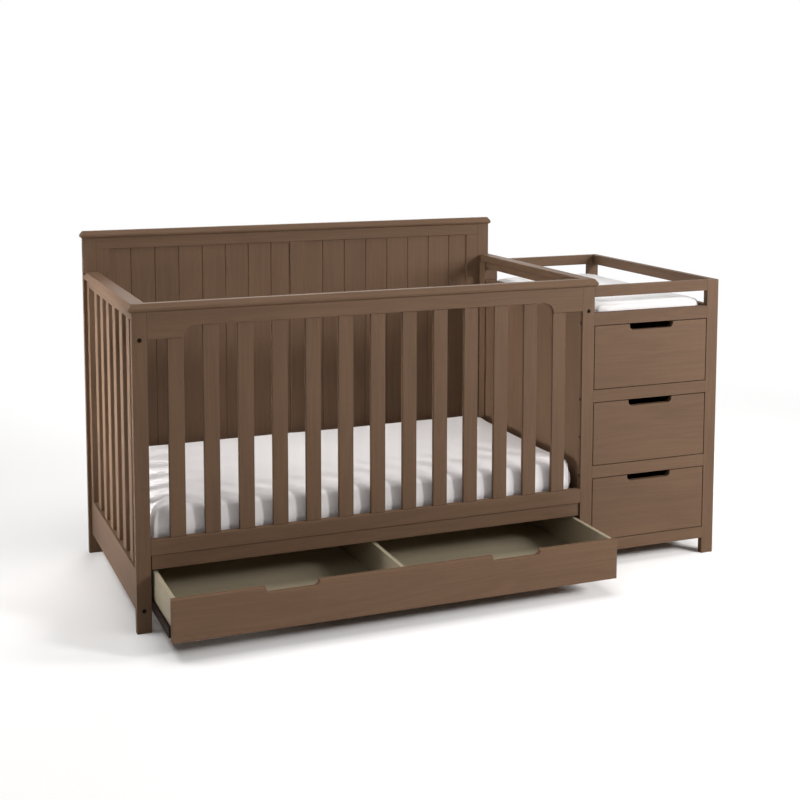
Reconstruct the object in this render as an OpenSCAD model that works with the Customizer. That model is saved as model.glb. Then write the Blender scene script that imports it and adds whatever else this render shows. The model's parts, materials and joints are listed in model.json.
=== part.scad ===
// Crib with an attached changing tower, a wide drawer under the crib and three drawers in the tower.
// X runs along the crib towards the tower, Y runs back to the headboard, Z is up.
// Everything is drawn from the floor corner of the front-left post and then set about the origin,
// which is the middle of the whole footprint at floor level.

/* [Crib] */
// Clear length between the front-left post and the tower
crib_len = 1336.5; // [1200:0.5:1500]
// Depth from the front face to the front face of the headboard
crib_depth = 729; // [650:1:800]
// Height of posts and rails under the cap mouldings
frame_top = 890; // [840:1:960]
// Width of every main post, seen from the front
post_w = 41; // [36:0.5:50]
// Thickness of posts and rails
frame_t = 20; // [18:0.5:26]
// Height above the floor of the lowest crib board
crib_base_z = 175; // [160:1:230]

/* [Cap mouldings] */
// Thickness of the cap mouldings
cap_t = 23; // [18:0.5:30]
// Radius of a cap's nose, under its sloping upper edge
nose_r = 8; // [5:0.5:8.5]
// How far the sloping upper edge lies back from the tip of the nose
nose_slope = 9; // [8.5:0.5:12]
// How far the caps stand out past the faces under them
cap_over = 9; // [4:0.5:14]
// How far the headboard's cap stands out past its faces
head_cap_over = 7; // [4:0.5:14]
// Width of the caps on the two crib ends
end_cap_w = 48; // [40:0.5:60]
// How far the front cap reaches behind the front rail
front_cap_back = 2; // [0:0.5:10]

/* [Front panel] */
// Number of upright slats in the front
front_slats_n = 13; // [11:1:15]
// Width of a front slat
front_slat_w = 44.5; // [38:0.5:50]
// Gap between a front post and the slat beside it
front_end_gap = 56.2; // [20:0.1:75]
// Thickness of all slats
slat_t = 12; // [9:0.5:15]
// Height of the front top rail over the slats
top_rail_h = 43; // [30:1:60]
// How far the rounded ears of the top rail reach below it
ear_drop = 32; // [20:1:45]
// Height of the bottom rail
bottom_rail_h = 44; // [30:1:60]
// Height of the apron board under the bottom rail
apron_h = 41; // [25:1:60]
// Thickness of the apron board
apron_t = 15; // [12:0.5:18]
// Gap at each end of the apron board
apron_gap = 3; // [1:0.5:5]

/* [Left end] */
// Number of slats in the left end
end_slats_n = 6; // [5:1:7]
// Width of a slat in the left end
end_slat_w = 42; // [34:0.5:48]
// How far the end frame stands in from the post's outer face
end_inset = 2; // [0:0.5:6]
// How far the end slats lie in from the end frame's outer face
end_slat_set = 6; // [1:0.5:8]
// Height of the end rail under the cap
end_top_rail_h = 22; // [16:0.5:40]
// Height of the floor gap under the end's bottom rail
end_base_z = 63; // [50:1:80]
// Height of the end's bottom rail
end_bottom_rail_h = 114; // [80:1:130]
// Width of the upright stile against the headboard
end_stile_w = 37; // [30:0.5:50]
// Width and depth of the hidden corner posts behind the two front posts
corner_post = 20; // [16:0.5:24]

/* [Headboard] */
// Height of the headboard's posts and rails under its cap
head_top = 1021; // [960:1:1120]
// How far the headboard stands out past the front-left post
head_side_over = 8.5; // [0:0.5:20]
// How far the headboard laps behind the tower's inner post
head_lap = 32; // [22:0.5:38]
// Height of the headboard's top rail
head_rail_h = 36; // [25:1:60]
// Height of the headboard's bottom rail
head_low_rail_h = 85; // [50:1:120]
// Width of the stiles beside the headboard's posts
head_stile_w = 43; // [30:0.5:60]
// Width of the headboard's centre stile
head_mid_stile_w = 48; // [30:0.5:60]
// Number of planks in each beaded panel
planks_n = 8; // [6:1:10]
// Width of a beaded plank
plank_w = 77.8; // [60:0.1:85]
// Thickness of the beaded panels
panel_t = 9; // [6:0.5:12]
// How far the beaded panels sit behind the stiles
panel_set = 5; // [2:0.5:8]
// Width of the vee groove between planks
groove_w = 5; // [3:0.5:7]

/* [Tower] */
// Width of the changing tower over its posts
tower_w = 490.5; // [440:0.5:560]
// How far the tower's back stands behind the headboard
tower_back_step = 17; // [10:1:30]
// Depth of the post that joins crib, headboard and tower
inner_post_d = 43; // [36:1:60]
// Width of the tower's back-left post
back_left_post_w = 36; // [30:0.5:45]
// Gap between the headboard and the tower's back-left post
head_tower_gap = 1.5; // [0.5:0.5:3]
// Thickness of the tower's side panels
side_panel_t = 20; // [15:0.5:22]
// How far the side panels stand in from the posts' outer faces
side_panel_inset = 4.5; // [2:0.5:8]
// Height of the gallery rails round the changing surface
gallery_h = 34; // [25:1:45]
// Height of the open slot under the gallery rails
gallery_slot = 49; // [35:1:60]
// Height of the rail over the top drawer
tray_rail_h = 39; // [30:1:50]
// Height of the rails between the drawers
drawer_rail_h = 38.2; // [28:0.1:50]
// Height of the rail under the bottom drawer
base_rail_h = 37; // [28:0.5:50]
// Height of the floor gap under the tower
tower_base_z = 51; // [40:1:80]
// Thickness of the changing surface and of the tower's bottom board
board_t = 15; // [12:0.5:20]
// How far the changing surface lies below the front rail's top
tray_depth = 22; // [14:0.5:24]
// How far the wall beside the crib rises over the front rail
tray_wall_rise = 23; // [0:1:30]
// Thickness of the tower's back panel
back_panel_t = 6; // [4:0.5:9]

/* [Drawers] */
// Gap round the tower's drawer fronts
front_gap = 2.5; // [1.5:0.5:4]
// Thickness of all drawer fronts
front_t = 18; // [15:0.5:20]
// Thickness of drawer sides and backs
box_t = 12; // [9:0.5:15]
// Thickness of drawer bottoms
bottom_t = 5; // [4:0.5:8]
// Height of the tower drawers' sides
box_h = 150; // [110:1:160]
// Height of the sides' lower edge over the opening's edge
box_lift = 14; // [8:0.5:20]
// Height of a drawer bottom over the sides' lower edge
bottom_lift = 6; // [4:0.5:14]
// Length of the finger cut-out in a tower drawer front
grip_len = 156; // [110:1:180]
// Depth of the finger cut-out in a tower drawer front
grip_depth = 19; // [14:0.5:26]
// Radius of the cut-outs' lower corners
grip_r = 14; // [8:0.5:14]

/* [Crib drawer] */
// How far the wide drawer stands open at rest
crib_drawer_open = 229; // [0:1:240]
// Height of the wide drawer's front
crib_front_h = 118; // [100:1:125]
// Gap between the wide drawer's front and the apron over it
crib_front_gap = 4; // [2:0.5:8]
// Gap between the wide drawer's front and the posts beside it
crib_side_gap = 5; // [3:0.5:8]
// Height of the front's lower edge below the drawer sides
crib_box_lift = 12; // [8:0.5:16]
// How far the sides stop below the front's top edge
crib_box_drop = 3; // [1:0.5:8]
// Length of each finger cut-out in the wide drawer's front
crib_grip_len = 150; // [110:1:180]
// Depth of the finger cut-outs in the wide drawer's front
crib_grip_depth = 16; // [12:0.5:22]
// Distance of each finger cut-out from the middle of the front
crib_grip_x = 334; // [250:1:420]
// Offset of the divider from the drawer's middle
divider_off = -8; // [-60:1:60]

/* [Runners] */
// Side space that a pair of runners takes beside a drawer
runner_gap = 13; // [12:0.5:14]
// Wall thickness of a fixed runner channel
channel_wall = 1.5; // [1:0.1:2]
// Free space between a sliding bar and its channel
runner_clear = 0.5; // [0.3:0.1:0.8]
// Height of the bars in the tower
tower_bar_h = 31; // [24:1:34]
// Height of the bars under the crib
crib_bar_h = 26; // [20:1:30]
// Distance of a runner channel from the front rail's back
channel_set = 4; // [2:0.5:10]
// How much longer a fixed channel is than its drawer box
channel_extra = 50; // [20:1:60]
// Gap between the tower's channels and the post behind them
channel_back_gap = 32; // [10:1:200]
// Gap between the wide drawer's channels and the post behind them
crib_channel_back_gap = 52; // [10:1:200]

/* [Mattress and support] */
// Thickness of the mattress
mattress_t = 142; // [100:1:150]
// Gap between the mattress and the left end's cap, seen from above
mattress_left_gap = 3; // [1:0.5:20]
// Gap between the mattress and the cap beside the tower, seen from above
mattress_right_gap = 11.5; // [1:0.5:20]
// Gap between the mattress and the front cap, seen from above
mattress_front_gap = 5; // [1:0.5:20]
// Gap between the mattress and the headboard's cap, seen from above
mattress_back_gap = 5; // [1:0.5:20]
// Rise of the mattress's top in its middle
mattress_crown = 5; // [0:0.5:10]
// Height of the support's frame boards
support_t = 16; // [12:0.5:22]
// Height of the support's cross slats
support_slat_t = 12; // [9:0.5:18]
// Number of cross slats
support_slats_n = 12; // [9:1:14]
// Width of the support's boards and slats
support_w = 60; // [45:1:70]
// Free space round the support frame
support_gap = 4; // [2:0.5:8]
// Thickness of the steel support brackets
bracket_t = 2; // [1.5:0.5:4]
// Reach of a support bracket under the frame
bracket_reach = 38; // [28:1:60]

/* [Changing pad] */
// Thickness of the pad at its raised sides
pad_t = 36; // [25:1:50]
// How far the pad's middle dips below its sides
pad_dip = 9; // [0:0.5:14]
// Gap from the pad to the crib's cap and to the front rail
pad_gap = 3; // [2:0.5:8]
// Gap between the pad and the tower's outer side
pad_side_gap = 22; // [2:0.5:40]
// Gap between the pad and the tower's back
pad_back_gap = 27; // [2:0.5:60]

/* [Hardware] */
// Diameter of the frame bolts
bolt_d = 6; // [5:0.5:8]
// Diameter of the bolt heads
bolt_head_d = 12; // [10:0.5:14]
// Thickness of a bolt head
bolt_head_t = 4; // [3:0.5:6]
// How deep a bolt head lies below the face
bolt_sink = 1.5; // [0:0.5:3]
// Length of a bolt under its head
bolt_len = 40; // [34:1:45]
// Free space round a bolt's shank
bolt_clear = 0.4; // [0.2:0.1:0.8]
// How far the upper bolts lie below the tops of the front posts
bolt_drop = 76; // [50:1:120]
// Height of the lower bolts in the front posts
bolt_low_z = 63; // [55:1:80]
// Height of the lower bolts in the headboard
head_bolt_low_z = 120; // [90:1:150]
// Diameter of the cross nuts
nut_d = 10; // [9:0.5:12]
// Diameter of the blind holes in the posts' inner faces
peg_hole_d = 8; // [6:0.5:9]
// Depth of the blind holes in the posts' inner faces
peg_hole_deep = 14; // [8:1:25]

/* [Hidden] */

// Smoothness of true round features
$fn = 48;
// Cut-through length past a face
eps = 1;

// Finishes
stained = [0.42, 0.33, 0.26];
stained_light = [0.47, 0.38, 0.31];
raw_board = [0.80, 0.74, 0.62];
pine = [0.80, 0.67, 0.48];
dark_steel = [0.16, 0.13, 0.11];
zinc = [0.60, 0.60, 0.58];
sheet_white = [0.93, 0.93, 0.94];

// Stations along X
tower_x = post_w + crib_len;
tower_right = tower_x + tower_w;
crib_mid_x = post_w + crib_len / 2;
head_x0 = -head_side_over;
head_x1 = tower_x + head_lap;
end_x0 = end_inset;
end_x1 = end_x0 + frame_t;
wall_x0 = tower_x + side_panel_inset;
wall_x1 = wall_x0 + side_panel_t;
outer_x1 = tower_right - side_panel_inset;
outer_x0 = outer_x1 - side_panel_t;
open_x0 = tower_x + post_w;
open_x1 = tower_right - post_w;
back_left_x0 = head_x1 + head_tower_gap;
back_left_x1 = back_left_x0 + back_left_post_w;
right_cap_x1 = tower_x + post_w + cap_over;
right_cap_x0 = right_cap_x1 - end_cap_w;

// Stations along Y
head_back = crib_depth + frame_t;
tower_back = head_back + tower_back_step;
tower_back_y0 = tower_back - frame_t;
inner_post_y0 = crib_depth - inner_post_d;

// Stations along Z
rail_under = frame_top - top_rail_h;
ear_under = rail_under - ear_drop;
apron_top = crib_base_z + apron_h;
slat_foot = apron_top + bottom_rail_h;
end_slat_foot = end_base_z + end_bottom_rail_h;
end_slat_top = frame_top - end_top_rail_h;
gallery_z0 = frame_top - gallery_h;
tray_top = gallery_z0 - gallery_slot;
tray_rail_z0 = tray_top - tray_rail_h;
surface_top = tray_top - tray_depth;
bays_z0 = tower_base_z + base_rail_h;
bay_h = (tray_rail_z0 - bays_z0 - 2 * drawer_rail_h) / 3;
bay_pitch = bay_h + drawer_rail_h;

// Depths of the drawer boxes, from the room behind the front rails
channel_y0 = frame_t + channel_set;
tower_channel_y1 = inner_post_y0 - channel_back_gap;
crib_channel_y1 = inner_post_y0 - crib_channel_back_gap;
box_d = tower_channel_y1 - channel_extra - channel_y0;
crib_box_d = crib_channel_y1 - channel_extra - channel_y0;

// Wide drawer under the crib
crib_front_z1 = crib_base_z - crib_front_gap;
crib_front_z0 = crib_front_z1 - crib_front_h;
crib_box_z0 = crib_front_z0 + crib_box_lift;
crib_box_z1 = crib_front_z1 - crib_box_drop;
crib_front_x0 = post_w + crib_side_gap;
crib_front_x1 = tower_x - crib_side_gap;
crib_box_x1 = wall_x0 - runner_gap;
crib_box_x0 = 2 * crib_mid_x - crib_box_x1;
crib_box_y0 = front_t - crib_drawer_open;
crib_box_y1 = crib_box_y0 + crib_box_d;

// Mattress support and mattress
support_z0 = crib_base_z + bracket_t;
support_slat_z0 = support_z0 + support_t;
mattress_z0 = support_slat_z0 + support_slat_t;
support_x0 = post_w / 2 + corner_post / 2 + support_gap;
support_x1 = tower_x - support_gap;
support_y0 = frame_t + support_gap;
support_y1 = crib_depth - support_gap;
mattress_x0 = end_cap_w - cap_over + mattress_left_gap;
mattress_x1 = right_cap_x0 - mattress_right_gap;
mattress_y0 = frame_t + front_cap_back + mattress_front_gap;
mattress_y1 = crib_depth - head_cap_over - mattress_back_gap;

// Changing pad
pad_x0 = right_cap_x1 + pad_gap;
pad_x1 = outer_x0 - pad_side_gap;
pad_y0 = frame_t + pad_gap;
pad_y1 = tower_back_y0 - pad_back_gap;

// Whole footprint, whose middle is the origin
foot_x0 = min(head_x0 - head_cap_over, -cap_over);
foot_x1 = tower_right;
foot_y0 = -max(crib_drawer_open, cap_over);
foot_y1 = max(tower_back, head_back + head_cap_over);
origin_x = (foot_x0 + foot_x1) / 2;
origin_y = (foot_y0 + foot_y1) / 2;

module placed() {
  translate([-origin_x, -origin_y, 0]) children();
}

// A board between two opposite corners
module board(low, high) {
  translate(low) cube(high - low);
}

// ---------- Cap mouldings ----------

// Straight steps in the round of a nose
nose_steps = 9;

// Points up a nose whose tip is at x = 0: a round below, and above it a slope that touches the round
function nose() =
  let (
    rise = [nose_slope - nose_r, cap_t - nose_r],
    touch = atan2(rise[1], rise[0]) + acos(nose_r / norm(rise)),
    round_part = [for (i = [0 : nose_steps])
      let (a = 270 - i * (270 - touch) / nose_steps) nose_r * [1 + cos(a), 1 + sin(a)]]
  )
  concat(round_part, [[nose_slope, cap_t]]);

// The same points on the far side of a moulding of width w, from the top down
function far_nose(w) = [for (i = [nose_steps + 1 : -1 : 0]) [w - nose()[i][0], nose()[i][1]]];

// Section of a moulding of width w, with a nose at x = 0, and at x = w too if both
module cap_section(w, both) {
  polygon(concat(nose(), both ? far_nose(w) : [[w, cap_t], [w, 0]]));
}

// A moulding along X whose nose faces the front, and the back too if both
module cap_along_x(x0, x1, y0, y1, both) {
  translate([x0, y0, frame_top]) rotate([90, 0, 90])
    linear_extrude(x1 - x0) cap_section(y1 - y0, both);
}

// A moulding along Y whose nose faces left, and right too if both
module cap_along_y(x0, x1, y0, y1, both) {
  translate([x0, y1, frame_top]) rotate([90, 0, 0])
    linear_extrude(y1 - y0) cap_section(x1 - x0, both);
}

module cap_outline(points) {
  translate([0, 0, frame_top - eps]) linear_extrude(cap_t + 2 * eps) polygon(points);
}

mitre = front_cap_back + frame_t;

module headboard_cap() {
  x0 = head_x0 - head_cap_over;
  x1 = head_x1 + head_cap_over;
  y0 = crib_depth - head_cap_over;
  y1 = head_back + head_cap_over;
  color(stained_light) placed() translate([0, 0, head_top - frame_top]) intersection() {
    cap_along_x(x0, x1, y0, y1, true);
    cap_along_y(x0, x1, y0, y1, true);
  }
}

module front_cap() {
  color(stained_light) placed() intersection() {
    cap_along_x(-cap_over, right_cap_x1, -cap_over, mitre, false);
    cap_outline([
      [-cap_over, -cap_over], [mitre, mitre],
      [right_cap_x1 - mitre - cap_over, mitre], [right_cap_x1, -cap_over]
    ]);
  }
}

module left_end_cap() {
  x1 = end_cap_w - cap_over;
  color(stained_light) placed() intersection() {
    cap_along_y(-cap_over, x1, -cap_over, crib_depth, false);
    cap_outline([
      [-cap_over, -cap_over], [mitre, mitre], [x1, mitre], [x1, crib_depth], [-cap_over, crib_depth]
    ]);
  }
}

module right_end_cap() {
  color(stained_light) placed() intersection() {
    translate([right_cap_x0 + right_cap_x1, 0, 0]) mirror([1, 0, 0])
      cap_along_y(right_cap_x0, right_cap_x1, -cap_over, tower_back_y0, false);
    cap_outline([
      [right_cap_x1, -cap_over], [right_cap_x1 - mitre - cap_over, mitre], [right_cap_x0, mitre],
      [right_cap_x0, crib_depth], [back_left_x0, crib_depth],
      [back_left_x0, tower_back_y0], [right_cap_x1, tower_back_y0]
    ]);
  }
}

// ---------- Bolts, cross nuts and their holes ----------

// Each bolt: place of its head's face, and +1 if it runs towards the back or -1 towards the front
bolt_high_z = frame_top - bolt_drop;
bolt_left_x = post_w / 2;
bolt_tower_x = tower_x + post_w / 2;
bolt_head_left_x = (end_x0 + end_x1) / 2;
bolt_head_right_x = (tower_x + head_x1) / 2;
bolts = [
  [bolt_left_x, 0, bolt_high_z, 1], [bolt_left_x, 0, bolt_low_z, 1],
  [bolt_tower_x, 0, bolt_high_z, 1], [bolt_tower_x, 0, bolt_low_z, 1],
  [bolt_head_left_x, head_back, bolt_high_z, -1], [bolt_head_left_x, head_back, head_bolt_low_z, -1],
  [bolt_head_right_x, head_back, bolt_high_z, -1], [bolt_head_right_x, head_back, head_bolt_low_z, -1]
];
bolt_seat = bolt_sink + bolt_head_t;
nut_y = bolt_seat + bolt_len - nut_d;

// Wood left at each end of a cross nut
nut_wall = 2;
// Corner to corner size of the socket in a bolt head
socket_d = 5;

module at_bolt(b) {
  translate([b[0], b[1], b[2]]) rotate([b[3] > 0 ? -90 : 90, 0, 0]) children();
}

module bolt_holes() {
  for (b = bolts) at_bolt(b) {
    translate([0, 0, -eps]) cylinder(d = bolt_head_d + 2 * bolt_clear, h = bolt_seat + eps);
    cylinder(d = bolt_d + 2 * bolt_clear, h = bolt_seat + bolt_len + bolt_clear);
    translate([0, 0, nut_y]) rotate([0, 90, 0])
      cylinder(d = nut_d, h = corner_post - 2 * nut_wall, center = true);
  }
}

module frame_bolts() {
  color(dark_steel) placed() for (b = bolts) at_bolt(b) translate([0, 0, bolt_sink]) {
    difference() {
      cylinder(d = bolt_head_d, h = bolt_head_t);
      translate([0, 0, -eps]) cylinder(d = socket_d, h = bolt_head_t / 2 + eps, $fn = 6);
    }
    translate([0, 0, bolt_head_t]) cylinder(d = bolt_d, h = bolt_len);
  }
}

module cross_nuts() {
  color(zinc) placed() for (b = bolts) at_bolt(b) translate([0, 0, nut_y]) difference() {
    rotate([0, 90, 0]) cylinder(d = nut_d, h = corner_post - 2 * nut_wall, center = true);
    cylinder(d = bolt_d + 2 * bolt_clear, h = 2 * nut_d, center = true);
  }
}

// ---------- Headboard ----------

module headboard_left_post() {
  color(stained) placed() difference() {
    board([head_x0, crib_depth, 0], [head_x0 + post_w, head_back, head_top]);
    bolt_holes();
  }
}

module headboard_right_post() {
  color(stained) placed() difference() {
    board([head_x1 - post_w, crib_depth, 0], [head_x1, head_back, head_top]);
    bolt_holes();
  }
}

head_rail_x0 = head_x0 + post_w;
head_rail_x1 = head_x1 - post_w;
head_panel_x0 = head_rail_x0 + head_stile_w;
head_panel_x1 = head_rail_x1 - head_stile_w;
head_mid_x = (head_x0 + head_x1) / 2;
head_panel_z0 = crib_base_z + head_low_rail_h;
head_panel_z1 = head_top - head_rail_h;

module headboard_top_rail() {
  color(stained) placed()
    board([head_rail_x0, crib_depth, head_panel_z1], [head_rail_x1, head_back, head_top]);
}

module headboard_bottom_rail() {
  color(stained) placed()
    board([head_rail_x0, crib_depth, crib_base_z], [head_rail_x1, head_back, head_panel_z0]);
}

module headboard_stile(x0, w) {
  color(stained) placed()
    board([x0, crib_depth, head_panel_z0], [x0 + w, head_back, head_panel_z1]);
}

module headboard_side_stiles() {
  headboard_stile(head_rail_x0, head_stile_w);
  headboard_stile(head_panel_x1, head_stile_w);
}

module headboard_centre_stile() headboard_stile(head_mid_x - head_mid_stile_w / 2, head_mid_stile_w);

// A panel of planks whose joints are vee grooves in its front
module beaded_panel(x0, x1) {
  mid = (x0 + x1) / 2;
  color(stained) placed() translate([0, crib_depth + panel_set, head_panel_z0])
    linear_extrude(head_panel_z1 - head_panel_z0) difference() {
      translate([x0, 0]) square([x1 - x0, panel_t]);
      for (i = [1 : planks_n - 1]) translate([mid + (i - planks_n / 2) * plank_w, 0])
        rotate(45) square(groove_w / sqrt(2), center = true);
    }
}

module headboard_left_panel() beaded_panel(head_panel_x0, head_mid_x - head_mid_stile_w / 2);
module headboard_right_panel() beaded_panel(head_mid_x + head_mid_stile_w / 2, head_panel_x1);

// ---------- Left end ----------

// The hidden posts that the front posts are bolted to
module corner_post_bodies() {
  for (x = [bolt_left_x, bolt_tower_x])
    board([x - corner_post / 2, frame_t, bolt_low_z - corner_post],
          [x + corner_post / 2, frame_t + corner_post + nut_d, end_slat_top]);
}

module front_corner_posts() {
  color(stained) placed() difference() {
    corner_post_bodies();
    bolt_holes();
  }
}

module left_end_top_rail() {
  color(stained) placed() board([end_x0, frame_t, end_slat_top], [end_x1, crib_depth, frame_top]);
}

module left_end_bottom_rail() {
  color(stained) placed() difference() {
    board([end_x0, frame_t, end_base_z], [end_x1, crib_depth, end_slat_foot]);
    corner_post_bodies();
    bolt_holes();
  }
}

end_stile_y0 = crib_depth - end_stile_w;
end_gap = (end_stile_y0 - frame_t - end_slats_n * end_slat_w) / (end_slats_n + 1);
slat_inset = (frame_t - slat_t) / 2;

module left_end_back_stile() {
  color(stained) placed() difference() {
    board([end_x0, end_stile_y0, end_slat_foot], [end_x1, crib_depth, end_slat_top]);
    bolt_holes();
  }
}

module left_end_slats() {
  color(stained_light) placed() for (i = [0 : end_slats_n - 1]) {
    y0 = frame_t + end_gap + i * (end_slat_w + end_gap);
    board([end_x0 + end_slat_set, y0, end_slat_foot],
          [end_x0 + end_slat_set + slat_t, y0 + end_slat_w, end_slat_top]);
  }
}

// ---------- Front panel ----------

// Heights of the blind holes in the inner faces of the two front posts
peg_zs = [301, 422, 540, 777];

module peg_holes() {
  for (z = peg_zs) translate([crib_mid_x, frame_t / 2, z]) rotate([0, 90, 0])
    cylinder(d = peg_hole_d, h = crib_len + 2 * peg_hole_deep, center = true);
}

module front_left_post() {
  color(stained) placed() difference() {
    board([0, 0, 0], [post_w, frame_t, frame_top]);
    bolt_holes();
    peg_holes();
  }
}

first_slat_x = post_w + front_end_gap + front_slat_w / 2;
front_slat_pitch = 2 * (crib_mid_x - first_slat_x) / (front_slats_n - 1);

// The top rail's lower edge steps down in a quarter round over the first and last slats
module front_top_rail() {
  arch_x0 = first_slat_x + front_slat_w / 2;
  arch_x1 = 2 * crib_mid_x - arch_x0;
  color(stained) placed() translate([0, frame_t, 0]) rotate([90, 0, 0]) linear_extrude(frame_t)
    difference() {
      translate([post_w, ear_under]) square([crib_len, frame_top - ear_under]);
      translate([arch_x0 + ear_drop, ear_under - eps])
        square([arch_x1 - arch_x0 - 2 * ear_drop, ear_drop + eps]);
      translate([arch_x0 + ear_drop, ear_under]) circle(r = ear_drop);
      translate([arch_x1 - ear_drop, ear_under]) circle(r = ear_drop);
    }
}

module front_slats() {
  color(stained) placed() for (i = [0 : front_slats_n - 1]) {
    x = first_slat_x + i * front_slat_pitch;
    under_ear = i == 0 || i == front_slats_n - 1;
    board([x - front_slat_w / 2, slat_inset, slat_foot],
          [x + front_slat_w / 2, frame_t - slat_inset, under_ear ? ear_under : rail_under]);
  }
}

module front_bottom_rail() {
  color(stained) placed() board([post_w, 0, apron_top], [tower_x, frame_t, slat_foot]);
}

module front_apron() {
  color(stained) placed()
    board([post_w + apron_gap, frame_t - apron_t, crib_base_z],
          [tower_x - apron_gap, frame_t, apron_top]);
}

// ---------- Right end, shared by crib and tower ----------

module right_end_top_rail() {
  color(stained) placed() board([wall_x0, frame_t, end_slat_top], [wall_x1, inner_post_y0, frame_top]);
}

module inner_rear_post_body() {
  board([tower_x, inner_post_y0, 0], [open_x0, crib_depth, frame_top]);
}

module inner_rear_post() {
  color(stained) placed() difference() {
    inner_rear_post_body();
    bolt_holes();
  }
}

// ---------- Tower ----------

module tower_front_left_post() {
  color(stained_light) placed() difference() {
    board([tower_x, 0, 0], [open_x0, frame_t, frame_top]);
    bolt_holes();
    peg_holes();
  }
}

module tower_front_right_post() {
  color(stained_light) placed() board([open_x1, 0, 0], [tower_right, frame_t, frame_top]);
}

module tower_back_right_post() {
  color(stained_light) placed() board([open_x1, tower_back_y0, 0], [tower_right, tower_back, frame_top]);
}

module tower_back_left_post() {
  color(stained_light) placed()
    board([back_left_x0, crib_depth, 0], [back_left_x1, tower_back, frame_top]);
}

module tower_crib_side_panel() {
  color(stained) placed() difference() {
    board([wall_x0, frame_t, tower_base_z], [wall_x1, inner_post_y0, tray_top + tray_wall_rise]);
    corner_post_bodies();
    bolt_holes();
  }
}

module tower_outer_side_panel() {
  color(stained_light) placed()
    board([outer_x0, frame_t, tower_base_z], [outer_x1, tower_back_y0, tray_top]);
}

module tower_back_panel() {
  y0 = tower_back - (frame_t + back_panel_t) / 2;
  color(stained) placed() board([back_left_x1, y0, bays_z0], [open_x1, y0 + back_panel_t, tray_rail_z0]);
}

module tower_back_rails() {
  color(stained_light) placed() {
    board([back_left_x1, tower_back_y0, tray_rail_z0], [open_x1, tower_back, tray_top]);
    board([back_left_x1, tower_back_y0, tower_base_z], [open_x1, tower_back, bays_z0]);
  }
}

// A board that fills the tower from wall to wall, notched round the posts
module tower_deck(z0) {
  difference() {
    board([wall_x1, frame_t, z0], [outer_x0, tower_back_y0, z0 + board_t]);
    board([wall_x1 - eps, crib_depth, z0 - eps], [back_left_x1, tower_back, z0 + board_t + eps]);
    inner_rear_post_body();
    corner_post_bodies();
  }
}

module tower_bottom_board() {
  color(stained) placed() tower_deck(tower_base_z);
}

module changing_surface() {
  color(stained) placed() tower_deck(surface_top - board_t);
}

module gallery_front_rail() {
  color(stained_light) placed() board([open_x0, 0, gallery_z0], [open_x1, frame_t, frame_top]);
}

module gallery_right_rail() {
  color(stained_light) placed()
    board([tower_right - frame_t, frame_t, gallery_z0], [tower_right, tower_back_y0, frame_top]);
}

module gallery_back_rail() {
  color(stained_light) placed()
    board([back_left_x1, tower_back_y0, gallery_z0], [open_x1, tower_back, frame_top]);
}

module tower_front_rails() {
  color(stained_light) placed() {
    board([open_x0, 0, tray_rail_z0], [open_x1, frame_t, tray_top]);
    for (i = [1, 2]) {
      z0 = bays_z0 + i * bay_pitch - drawer_rail_h;
      board([open_x0, 0, z0], [open_x1, frame_t, z0 + drawer_rail_h]);
    }
    board([open_x0, 0, tower_base_z], [open_x1, frame_t, bays_z0]);
  }
}

// ---------- Runners ----------

// Free space between a tower drawer's bar and the web of its channel
bar_web_gap = 1;
// Free space between the wide drawer's bars and the front posts
bar_post_gap = 0.5;
// Gap between a channel's lips and the drawer side
lip_gap = 2;
// Height of a runner block over and under its channel
block_over = 4;
tower_bar_t = runner_gap - channel_wall - bar_web_gap;
crib_bar_t = crib_box_x0 - post_w - bar_post_gap;
lip = runner_gap - lip_gap;
tower_bar_z = box_lift + bottom_lift + bottom_t + tower_bar_h / 2;
crib_bar_z = crib_box_z0 + crib_bar_h / 2 - channel_wall;

// A channel that opens towards +X, its web on the plane x = 0, centred on z = 0
module channel(bar_h, y0, y1) {
  inner = bar_h + 2 * runner_clear;
  translate([0, y1, 0]) rotate([90, 0, 0]) linear_extrude(y1 - y0) difference() {
    translate([0, -inner / 2 - channel_wall]) square([lip, inner + 2 * channel_wall]);
    translate([channel_wall, -inner / 2]) square([runner_gap, inner]);
  }
}

// The bar that slides in it, t thick, whose outer face lies on the drawer side
module bar(t, bar_h, y0, y1) {
  board([runner_gap - t, y0, -bar_h / 2], [runner_gap, y1, bar_h / 2]);
}

// Sets a runner part that starts at x0 and its mirror image that ends at x1
module runner_pair(x0, x1, z) {
  translate([x0, 0, z]) children();
  translate([x1, 0, z]) mirror([1, 0, 0]) children();
}

block_h = tower_bar_h + 2 * (runner_clear + channel_wall + block_over);
crib_block_z1 = crib_bar_z + block_h / 2;

module runner_blocks() {
  y0 = frame_t + corner_post + nut_d;
  color(pine) placed() {
    for (i = [0 : 2]) {
      z0 = bays_z0 + i * bay_pitch + tower_bar_z - block_h / 2;
      board([wall_x1, y0, z0], [open_x0, tower_channel_y1, z0 + block_h]);
      board([open_x1, y0, z0], [outer_x0, tower_channel_y1, z0 + block_h]);
    }
    board([end_x1, y0, crib_block_z1 - block_h],
          [crib_box_x0 - runner_gap, crib_channel_y1, crib_block_z1]);
  }
}

module runner_channels() {
  color(dark_steel) placed() {
    for (i = [0 : 2]) runner_pair(open_x0, open_x1, bays_z0 + i * bay_pitch + tower_bar_z)
      channel(tower_bar_h, channel_y0, tower_channel_y1);
    runner_pair(crib_box_x0 - runner_gap, wall_x0, crib_bar_z)
      channel(crib_bar_h, channel_y0, crib_channel_y1);
  }
}

// ---------- Drawers ----------

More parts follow.
